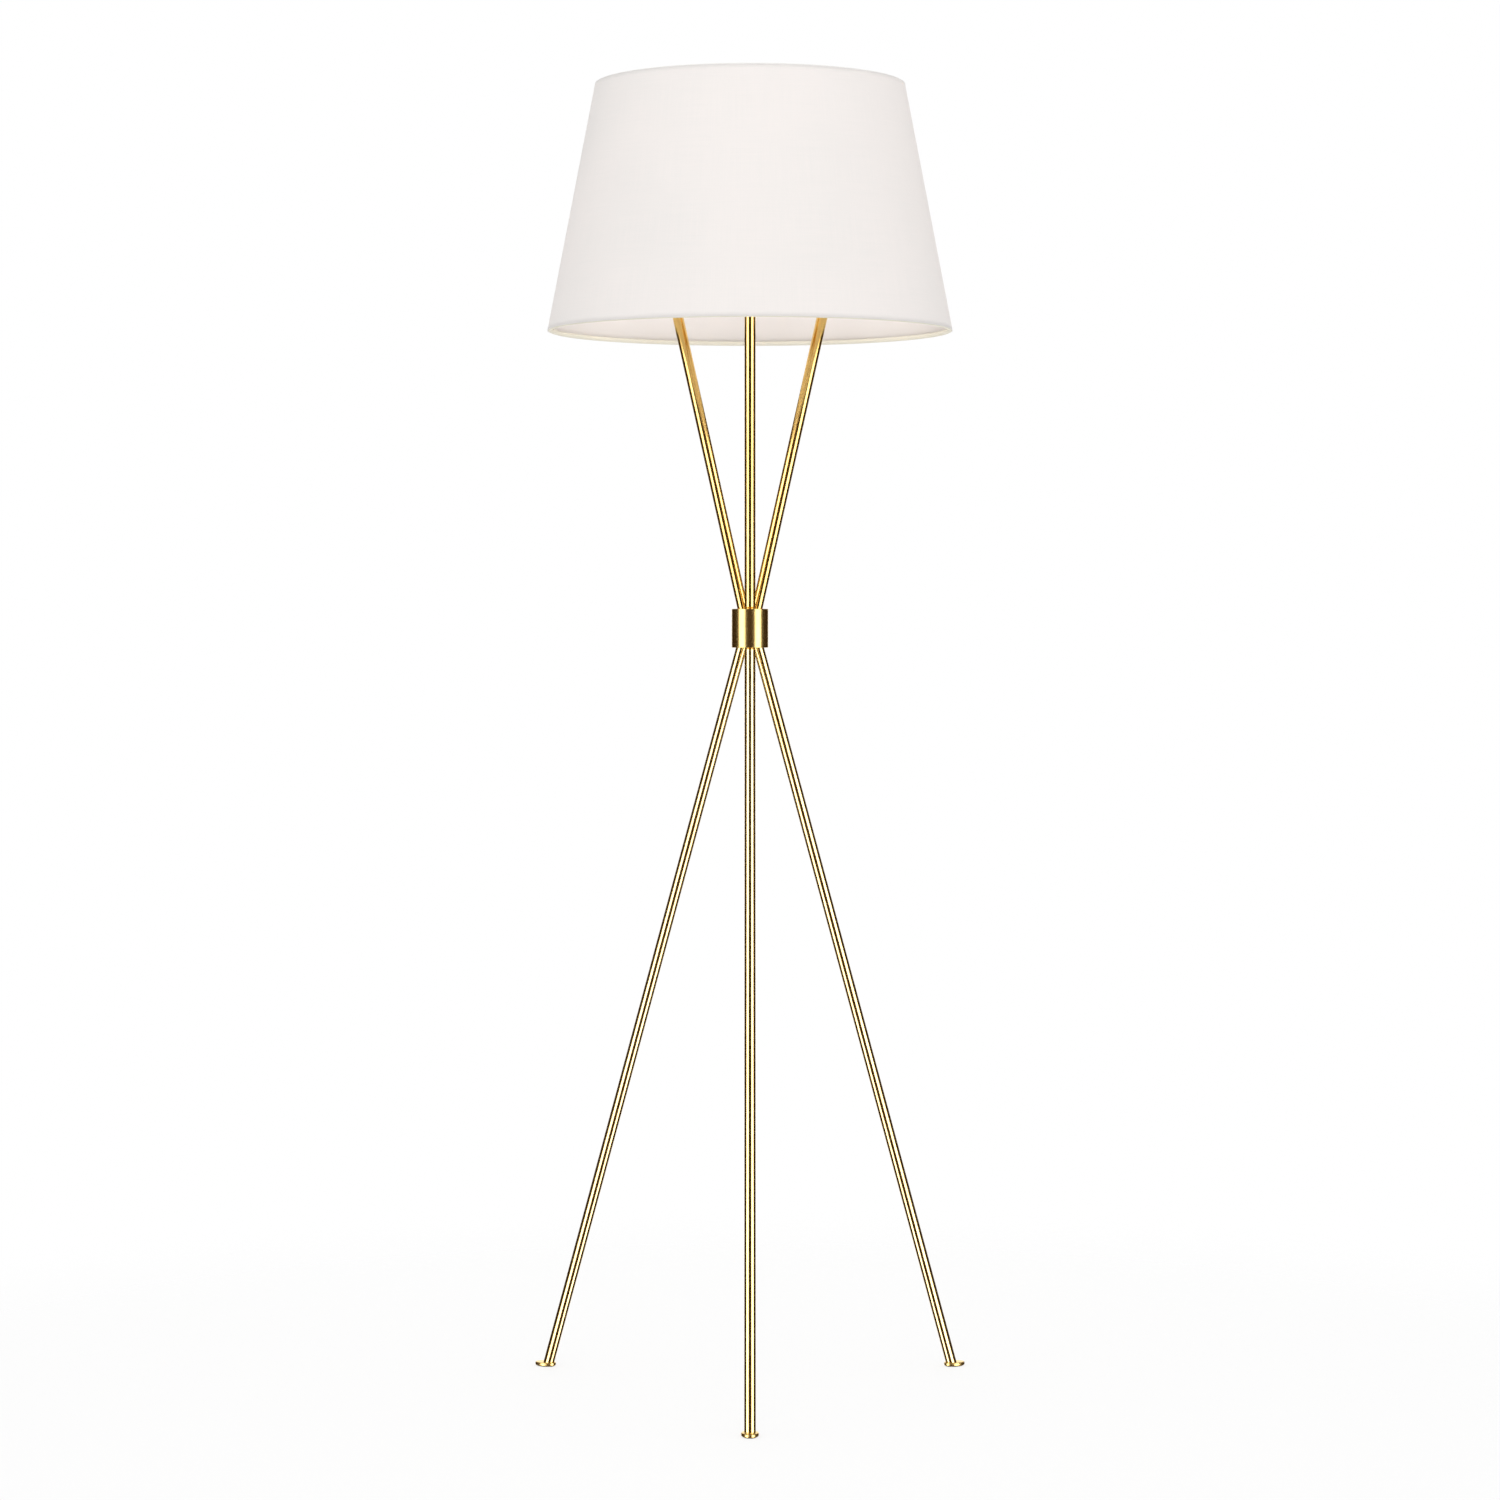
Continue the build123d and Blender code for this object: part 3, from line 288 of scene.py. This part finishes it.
def makeCards():
    radius, low, high = studio["cardRadius"], studio["cardLow"], studio["cardHigh"]
    for number, (start, end, colour) in enumerate(studio["cards"]):
        bm = bmesh.new()
        ends = [bm.verts.new(fromFront(start, radius, height)) for height in (low, high)]
        edge = bm.edges.new(ends)
        bmesh.ops.spin(
            bm, geom=[*ends, edge], cent=(0, 0, 0), axis=(0, 0, 1),
            angle=radians(end - start), steps=studio["cardSteps"],
        )
        keepCard(bm, f"card_{number}", colour)
    covers = (("lid", high, studio["lidColour"]), ("under", low, studio["underColour"]))
    for name, height, colour in covers:
        bm = bmesh.new()
        lift = Matrix.Translation((0, 0, height))
        bmesh.ops.create_circle(bm, cap_ends=True, segments=48, radius=radius, matrix=lift)
        keepCard(bm, f"card_{name}", colour)


def makeFloor():
    radius = floorPaper["radius"]
    bm = bmesh.new()
    bmesh.ops.create_circle(bm, cap_ends=True, segments=96, radius=radius)
    mesh = bpy.data.meshes.new("floor")
    bm.to_mesh(mesh)
    bm.free()
    floor = bpy.data.objects.new("floor", mesh)
    scene.collection.objects.link(floor)
    recipe = Recipe("floor_paper")
    x, y = recipe.axes(recipe.place())[:2]
    start, end = floorPaper["fade"]
    fade = ((x * x + y * y) ** 0.5).rise(start * radius, end * radius)
    look = {"Base Color": floorPaper["tone"], "Roughness": floorPaper["roughness"]}
    glow = recipe.node("ShaderNodeEmission", None, {"Color": (1, 1, 1)})
    path = recipe.node("ShaderNodeLightPath").socket.node.outputs
    lit = Signal(recipe, path["Is Camera Ray"]) * floorPaper["glow"]
    body = recipe.node("ShaderNodeMixShader", None, [lit, recipe.surface(look), glow])
    clear = recipe.node("ShaderNodeBsdfTransparent")
    faded = recipe.node("ShaderNodeMixShader", None, [fade, body, clear])
    mesh.materials.append(recipe.finish(faded))
    floor.visible_glossy = False


makeCamera()
makeWorld()
makeSoftboxes()
makeFills()
makeCards()
makeInsideLamp()
makeFloor()
print("camera, light and floor placed")

toneRange = (0.35, 0.7)  # the part of a noise over which a light tone turns deep

# tubes, collar and bracket
brass = {
    "leg": ((0.87, 0.68, 0.34), (0.80, 0.585, 0.25)),  # its light and its deep tone
    # the upper rods are a deeper, warmer brass than the legs: partly the tubes' own tone, partly
    # a painted reflection of the warm inside of the shade
    "upper_rod": ((0.85, 0.595, 0.21), (0.77, 0.505, 0.15)),
    "collar": ((0.83, 0.61, 0.235), (0.75, 0.52, 0.175)),
    "bracket": ((0.84, 0.60, 0.22), (0.74, 0.50, 0.16)),
    "tubeRoughness": 0.18,
    "collarRoughness": 0.23,
    "bracketRoughness": 0.28,
    "tube": 0.013,  # across a leg or a rod, in metres
    "brushed": (0.00022, 0.00022, 0.03),  # one brushed line, in metres
    "turned": (0.02, 0.02, 0.00016),  # one turned line, in metres
    "drift": 11,  # patches of tone for each metre
    "collarDrift": 26,
    "smudge": 70,
    "rubbedEdge": 0.0014,
    "relief": 0.00004,
}


# brushed metal whose lines run along a direction
def brushedMetal(name, direction, light, deep, roughness):
    recipe = Recipe(name)
    lines = recipe.noise(recipe.along(direction, brass["brushed"]), 1.0, 3.0, 0.6)
    drift = recipe.noise(recipe.place(), brass["drift"], 3.0)
    smudge = recipe.noise(recipe.place(), brass["smudge"], 4.0, 0.65).rise(0.45, 0.8)
    tone = (drift * 0.7 + lines * 0.3).rise(*toneRange)
    inputs = {
        "Base Color": recipe.mixed(tone, light, deep),
        "Metallic": 1.0,
        "Roughness": lines * 0.08 + smudge * 0.06 + (roughness - 0.05),
        "Normal": recipe.bump(lines, 0.12, brass["relief"]),
    }
    return recipe.finish(recipe.surface(inputs))


# turned metal: fine rings round the lamp's axis, rubbed at the ends of a band of heights
def turnedMetal(name, low, high, light, deep, roughness):
    recipe = Recipe(name)
    lines = recipe.noise(recipe.along((0, 0, 1), brass["turned"]), 1.0, 3.0, 0.6)
    drift = recipe.noise(recipe.place(), brass["collarDrift"], 3.0)
    z = recipe.axes(recipe.place())[2]
    rubbed = 1 - (z - low).within(high - z).rise(0, brass["rubbedEdge"])
    tone = (drift * 0.6 + lines * 0.4).rise(*toneRange)
    inputs = {
        "Base Color": recipe.mixed(rubbed * 0.2, recipe.mixed(tone, light, deep), light),
        "Metallic": 1.0,
        "Roughness": lines * 0.1 + rubbed * 0.05 + (roughness - 0.05),
        "Normal": recipe.bump(lines, 0.25, brass["relief"]),
    }
    return recipe.finish(recipe.surface(inputs))


def paint(material, *names):
    for name in names:
        mesh = nodes[name].data
        mesh.materials.clear()
        mesh.materials.append(material)


# the direction of a leg or rod, from its box less the tube's own width
def leanOf(name):
    low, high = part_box(name)
    middle = (low + high) / 2
    outward = Vector((middle.x, middle.y, 0)).normalized()
    width, depth, height = (max(size - brass["tube"], 0) for size in high - low)
    rising = 1 if name.startswith("upper_rod") else -1
    return (outward * hypot(width, depth) + Vector((0, 0, rising * height))).normalized()


for kind in ("leg", "upper_rod"):
    for side in ("front", "right", "left"):
        name = f"{kind}_{side}"
        lean = leanOf(name)
        paint(brushedMetal(f"brass_{name}", lean, *brass[kind], brass["tubeRoughness"]), name)

collarEnds = [corner.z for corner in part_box("collar")]
collarBrass = turnedMetal("brass_collar", *collarEnds, *brass["collar"], brass["collarRoughness"])
paint(collarBrass, "collar", "hub_core")
bracketBrass = brushedMetal(
    "brass_bracket", (1, 0, 0), *brass["bracket"], brass["bracketRoughness"]
)
paint(bracketBrass, "top_bracket")
print("tubes, collar and bracket finished")

# small parts: a finish's tones and roughness, its patches for each metre, how metallic it is,
# how deep its grain is where that isn't the usual depth, and the pieces that have it
smallParts = {
    "brass_cast": {
        "light": (0.86, 0.63, 0.25), "deep": (0.76, 0.52, 0.18),
        "roughness": 0.32, "scale": 160, "metallic": 1.0, "depth": 0.15, "relief": 0.00006,
        "pieces": ["foot_front", "foot_right", "foot_left"],
    },
    "brass_plain": {
        "light": (0.82, 0.60, 0.24), "deep": (0.70, 0.48, 0.17),
        "roughness": 0.32, "scale": 240, "metallic": 1.0,
        "pieces": ["leg_nipples", "rod_tails", "rod_end_plugs", "socket_nipple", "lock_nut"],
    },
    "zinc_plate": {
        "light": (0.66, 0.66, 0.65), "deep": (0.50, 0.50, 0.49),
        "roughness": 0.34, "scale": 300, "metallic": 1.0, "depth": 0.3,
        "pieces": [
            "collar_set_screw", "hub_set_screws", "bracket_screws", "lock_washer",
            "terminal_screws",
        ],
    },
    "brass_harp": {
        "light": (0.86, 0.63, 0.25), "deep": (0.76, 0.53, 0.18),
        "roughness": 0.26, "scale": 180, "metallic": 1.0, "depth": 0.12,
        "pieces": [
            "harp_saddle", "harp", "harp_sleeve_left", "harp_sleeve_right", "harp_stud",
            "finial",
        ],
    },
    "brass_shell": {
        "light": (0.87, 0.66, 0.30), "deep": (0.78, 0.56, 0.22),
        "roughness": 0.25, "scale": 90, "metallic": 1.0, "depth": 0.1,
        "pieces": ["socket_cap", "socket_shell"],
    },
    "nickel": {
        "light": (0.72, 0.70, 0.66), "deep": (0.58, 0.56, 0.52),
        "roughness": 0.28, "scale": 260, "metallic": 1.0,
        "pieces": ["screw_shell", "centre_contact"],
    },
    "bulb_cap_metal": {
        "light": (0.70, 0.70, 0.69), "deep": (0.56, 0.56, 0.55),
        "roughness": 0.3, "scale": 200, "metallic": 1.0,
        "pieces": ["bulb_base", "bulb_contact"],
    },
    "soft_glide": {
        "light": (0.20, 0.16, 0.12), "deep": (0.14, 0.11, 0.08),
        "roughness": 0.7, "scale": 400,
        "pieces": ["foot_glides"],
    },
    "grommet_rubber": {
        "light": (0.03, 0.03, 0.03), "deep": (0.045, 0.044, 0.042),
        "roughness": 0.62, "scale": 500,
        "pieces": ["cord_grommet"],
    },
    "lead_jacket": {
        "light": (0.62, 0.52, 0.34), "deep": (0.55, 0.45, 0.28),
        "roughness": 0.4, "scale": 90,
        "pieces": ["inner_lead"],
    },
    "fibre_card": {
        "light": (0.46, 0.44, 0.40), "deep": (0.36, 0.34, 0.31),
        "roughness": 0.85, "scale": 350,
        "pieces": ["socket_liner"],
    },
    "phenolic": {
        "light": (0.035, 0.022, 0.016), "deep": (0.02, 0.013, 0.01),
        "roughness": 0.35, "scale": 220,
        "pieces": ["socket_body", "switch_key"],
    },
    "opal_glass": {
        "light": (0.88, 0.88, 0.86), "deep": (0.84, 0.84, 0.82),
        "roughness": 0.32, "scale": 60, "depth": 0.05,
        "pieces": ["bulb_globe"],
    },
    "white_plastic": {
        "light": (0.84, 0.84, 0.83), "deep": (0.80, 0.80, 0.79),
        "roughness": 0.36, "scale": 260,
        "pieces": ["bulb_housing"],
    },
    "white_coat": {
        "light": (0.82, 0.82, 0.80), "deep": (0.76, 0.76, 0.74),
        "roughness": 0.42, "scale": 320,
        "pieces": ["shade_spider", "shade_top_ring", "shade_bottom_ring"],
    },
}


def mottled(name, look):
    recipe = Recipe(name)
    patches = recipe.noise(recipe.place(), look["scale"], 4.0, 0.6)
    fine = recipe.noise(recipe.place(), look["scale"] * 9)
    depth, relief = look.get("depth", 0.2), look.get("relief", 0.0001)
    inputs = {
        "Base Color": recipe.mixed(patches.rise(*toneRange), look["light"], look["deep"]),
        "Metallic": look.get("metallic", 0.0),
        "Roughness": fine * 0.12 + patches * 0.06 + (look["roughness"] - 0.09),
        "Normal": recipe.bump(fine * 0.5 + patches, depth, relief),
    }
    return recipe.finish(recipe.surface(inputs))


for name, look in smallParts.items():
    paint(mottled(name, look), *look["pieces"])
print("small parts finished")

shade = {
    "steps": 288,  # facets round the shade
    "rows": 48,
    "topRadius": 0.1844,  # of the cloth's outside, at its top edge
    "thickness": 0.0005,
    "cloth": (0.94, 0.90, 0.878),
    "clothCool": (0.88, 0.86, 0.84),
    "clothRoughness": 0.78,
    "clothRelief": 0.00015,
    "clothDrift": 5,  # patches of tone for each metre
    "thread": 0.0008,
    "slub": (14, 900),  # uneven threads for each metre, along and across them
    "sheen": 0.1,
    "seeThrough": 0.25,
    "backing": 0.0007,
    "liner": (0.945, 0.905, 0.89),
    "edge": (0.88, 0.845, 0.80),
    "aged": 0.05,  # height over which the edge's tone gives way to the liner's
    "linerRoughness": 0.55,
    "linerRelief": 0.0001,
    "linerDrift": 6,
    "pulp": 240,
    "glueLine": 0.00002,
    "inset": 0.001,  # cloth and backing end under the tape
    "lap": 0.012,  # its edge lies straight behind the front rod
    "lapLift": 0.00052,
    "lapGap": 0.00003,
}
tape = {
    "width": 0.0055,  # across the ring that it is folded round
    "thickness": 0.0003,
    "proud": 0.0002,
    "outside": {"bottom": 0.0022, "top": 0.0014},  # over the cloth, less than half the width
    "inside": 0.0052,  # over the backing
    "arc": 12,
    # painted shade: the tape's outer face, where it rolls over the ring, is painted grey, darker
    # than the cloth
    "paintedShadeDepths": (0.0012, 0.0004),  # depths under the cloth's face where its outer tone begins
    "outerPaintedShade": (0.80, 0.80, 0.80),
    # the inside of the tape: its own cream tone, darkened further as painted shade for the rim's
    # underside
    "innerCreamAndShade": (0.77, 0.735, 0.62),
    "weftTone": (0.70, 0.68, 0.63),
    "weave": 900,  # threads for each metre
    "roughness": 0.75,
    "relief": 0.0002,
}
bottomLow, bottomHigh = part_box("shade_bottom_hem")
bottomEdge = bottomLow.z
bottomRadius = bottomHigh.x
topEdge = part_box("shade_top_hem")[1].z
topRadius = shade["topRadius"]
flare = (bottomRadius - topRadius) / (topEdge - bottomEdge)
slant = (1 + flare**2) ** 0.5


def ladder(low, high, count):
    return [low + (high - low) * i / count for i in range(count + 1)]


def coneRadius(height, depth=0.0):  # of the shade's face, or of a depth under it
    return bottomRadius - (height - bottomEdge) * flare - depth * slant


def keep(bm, name, material, body, replaced):
    mesh = bpy.data.meshes.new(name)
    bm.to_mesh(mesh)
    bm.free()
    mesh.shade_smooth()
    mesh.materials.append(material)
    piece = bpy.data.objects.new(name, mesh)
    scene.collection.objects.link(piece)
    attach(piece, body)
    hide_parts(*replaced)
    return piece


def spinClosed(points, steps):
    bm = bmesh.new()
    verts = [bm.verts.new((radius, 0, height)) for radius, height in points]
    edges = [bm.edges.new(pair) for pair in zip(verts, verts[1:])]
    bmesh.ops.spin(
        bm, geom=verts + edges, cent=(0, 0, 0), axis=(0, 0, 1),
        angle=tau, steps=steps, use_merge=True,
    )
    bmesh.ops.remove_doubles(bm, verts=bm.verts, dist=1e-6)
    bmesh.ops.recalc_face_normals(bm, faces=bm.faces)
    return bm


# a sheet rolled into the shade's cone, one end glued over the other at the back.
# u runs round the sheet and v up its slant, both in metres
def rolledSheet(depth, lift):
    low, high = bottomEdge + shade["inset"], topEdge - shade["inset"]
    rows = ladder(low, high, shade["rows"])
    lap = shade["lap"] / bottomRadius
    bm = bmesh.new()
    verts = []
    for height in rows:
        radius = coneRadius(height, depth)
        verts.append(bm.verts.new((sin(lap) * radius, cos(lap) * radius, height)))
    edges = [bm.edges.new(pair) for pair in zip(verts, verts[1:])]
    bmesh.ops.spin(
        bm, geom=verts + edges, cent=(0, 0, 0), axis=(0, 0, 1),
        angle=tau + lap, steps=shade["steps"],
    )
    bm.verts.index_update()
    bm.verts.ensure_lookup_table()
    layer = bm.loops.layers.uv.new("cloth")
    turnOf = [
        (tau + lap) * (vert.index // len(rows)) / shade["steps"] for vert in bm.verts
    ]
    for face in bm.faces:
        for loop in face.loops:
            around = turnOf[loop.vert.index] * (bottomRadius + topRadius) / 2
            loop[layer].uv = (around, (loop.vert.co.z - low) * slant)
    for vert in bm.verts:  # the end that lies on top rises over the last lap's width
        share = min(max((turnOf[vert.index] - tau + lap) / lap, 0), 1)
        flat = Vector((vert.co.x, vert.co.y, 0)).normalized()
        vert.co += flat * lift * share * share * (3 - 2 * share)
    return bm


# tape folded over an edge of the shade: round it in part of a circle and back up the inside.
# way is 1 at the bottom edge and -1 at the top
def foldedTape(edge, way, outside):
    half = tape["width"] / 2
    lift = tape["proud"] - tape["thickness"] / 2
    outer = coneRadius(edge + way * half) + lift
    middle = edge + way * (half + tape["thickness"] / 2)
    points = [
        (outer - half + half * cos(turn), middle - way * half * sin(turn))
        for turn in ladder(asin(1 - outside / half), pi, tape["arc"])
    ]
    points.append((outer - tape["width"], edge + way * tape["inside"]))
    return spinClosed(points, shade["steps"])


# a matt body that also lets part of the light through
def letThrough(recipe, body, look):
    through = recipe.node("ShaderNodeBsdfTranslucent", None, look)
    mix = recipe.node("ShaderNodeMixShader", None, [shade["seeThrough"], body, through])
    return recipe.finish(mix)


def clothFinish():
    recipe = Recipe("shade_cloth")
    uv = recipe.node("ShaderNodeUVMap", {"uv_map": "cloth"})
    u, v = recipe.axes(uv)[:2]
    turns = tau / shade["thread"]
    weave = (u * turns).sine() * (v * turns).sine()
    along, across = shade["slub"]
    slubs = []
    for scale in ((along, across, 1), (across, along, 1)):
        mapped = recipe.node("ShaderNodeMapping", None, {"Vector": uv, "Scale": scale})
        slubs.append(recipe.noise(mapped, 1.0) * 0.5)
    thread = slubs[0] + slubs[1]
    drift = recipe.noise(recipe.place(), shade["clothDrift"])
    tone = (thread * 0.55 + drift * 0.45).rise(*toneRange)
    normal = recipe.bump(weave * 0.3 + thread, 0.12, shade["clothRelief"])
    inputs = {
        "Base Color": recipe.mixed(tone, shade["cloth"], shade["clothCool"]),
        "Roughness": thread * 0.1 + shade["clothRoughness"],
        "Sheen Weight": shade["sheen"],
        "Normal": normal,
    }
    look = {"Color": shade["cloth"], "Normal": normal}
    return letThrough(recipe, recipe.surface(inputs), look)


def linerFinish():
    recipe = Recipe("shade_backing")
    z = recipe.axes(recipe.place())[2]
    aged = 1 - (z - bottomEdge).rise(0, shade["aged"])
    pulp = recipe.noise(recipe.place(), shade["pulp"], 3.0)
    drift = recipe.noise(recipe.place(), shade["linerDrift"])
    inputs = {
        "Base Color": recipe.mixed(aged * 0.5 + drift * 0.2, shade["liner"], shade["edge"]),
        "Roughness": pulp * 0.12 + shade["linerRoughness"],
        "Normal": recipe.bump(pulp, 0.08, shade["linerRelief"]),
    }
    return letThrough(recipe, recipe.surface(inputs), {"Color": shade["liner"]})


def edgeFinish():
    recipe = Recipe("shade_edge")
    x, y, z = recipe.axes(recipe.place())
    face = bottomRadius + bottomEdge * flare  # the same for every point of the cloth's face
    start, end = tape["paintedShadeDepths"]
    # outer is 1 on the tape's outer face, which takes the grey painted shade
    outer = ((x * x + y * y) ** 0.5 + z * flare).rise(face - start, face - end)
    weave = recipe.noise(recipe.place(), tape["weave"])
    colour = recipe.mixed(outer, tape["innerCreamAndShade"], tape["outerPaintedShade"])
    inputs = {
        "Base Color": recipe.mixed(weave * 0.2, colour, tape["weftTone"]),
        "Roughness": weave * 0.1 + tape["roughness"],
        "Normal": recipe.bump(weave, 0.2, tape["relief"]),
    }
    return recipe.finish(recipe.surface(inputs))


def thicken(piece, thickness):
    solid = piece.modifiers.new("thickness", "SOLIDIFY")
    solid.thickness = thickness
    solid.offset = 0


def makeShade():
    half = shade["thickness"] / 2
    cloth = keep(
        rolledSheet(half, shade["lapLift"]),
        "shade_cloth", clothFinish(), "shade", ["shade_fabric"],
    )
    thicken(cloth, shade["thickness"])
    depth = shade["thickness"] + shade["backing"] / 2 + shade["glueLine"]
    backing = keep(
        rolledSheet(depth, -shade["backing"] - shade["lapGap"]),
        "shade_backing", linerFinish(), "shade", ["shade_liner"],
    )
    thicken(backing, shade["backing"])
    edging = edgeFinish()
    for name, edge, way in (("bottom", bottomEdge, 1), ("top", topEdge, -1)):
        bm = foldedTape(edge, way, tape["outside"][name])
        hem = keep(bm, f"shade_{name}_tape", edging, "shade", [f"shade_{name}_hem"])
        thicken(hem, tape["thickness"])


makeShade()
print("shade made")
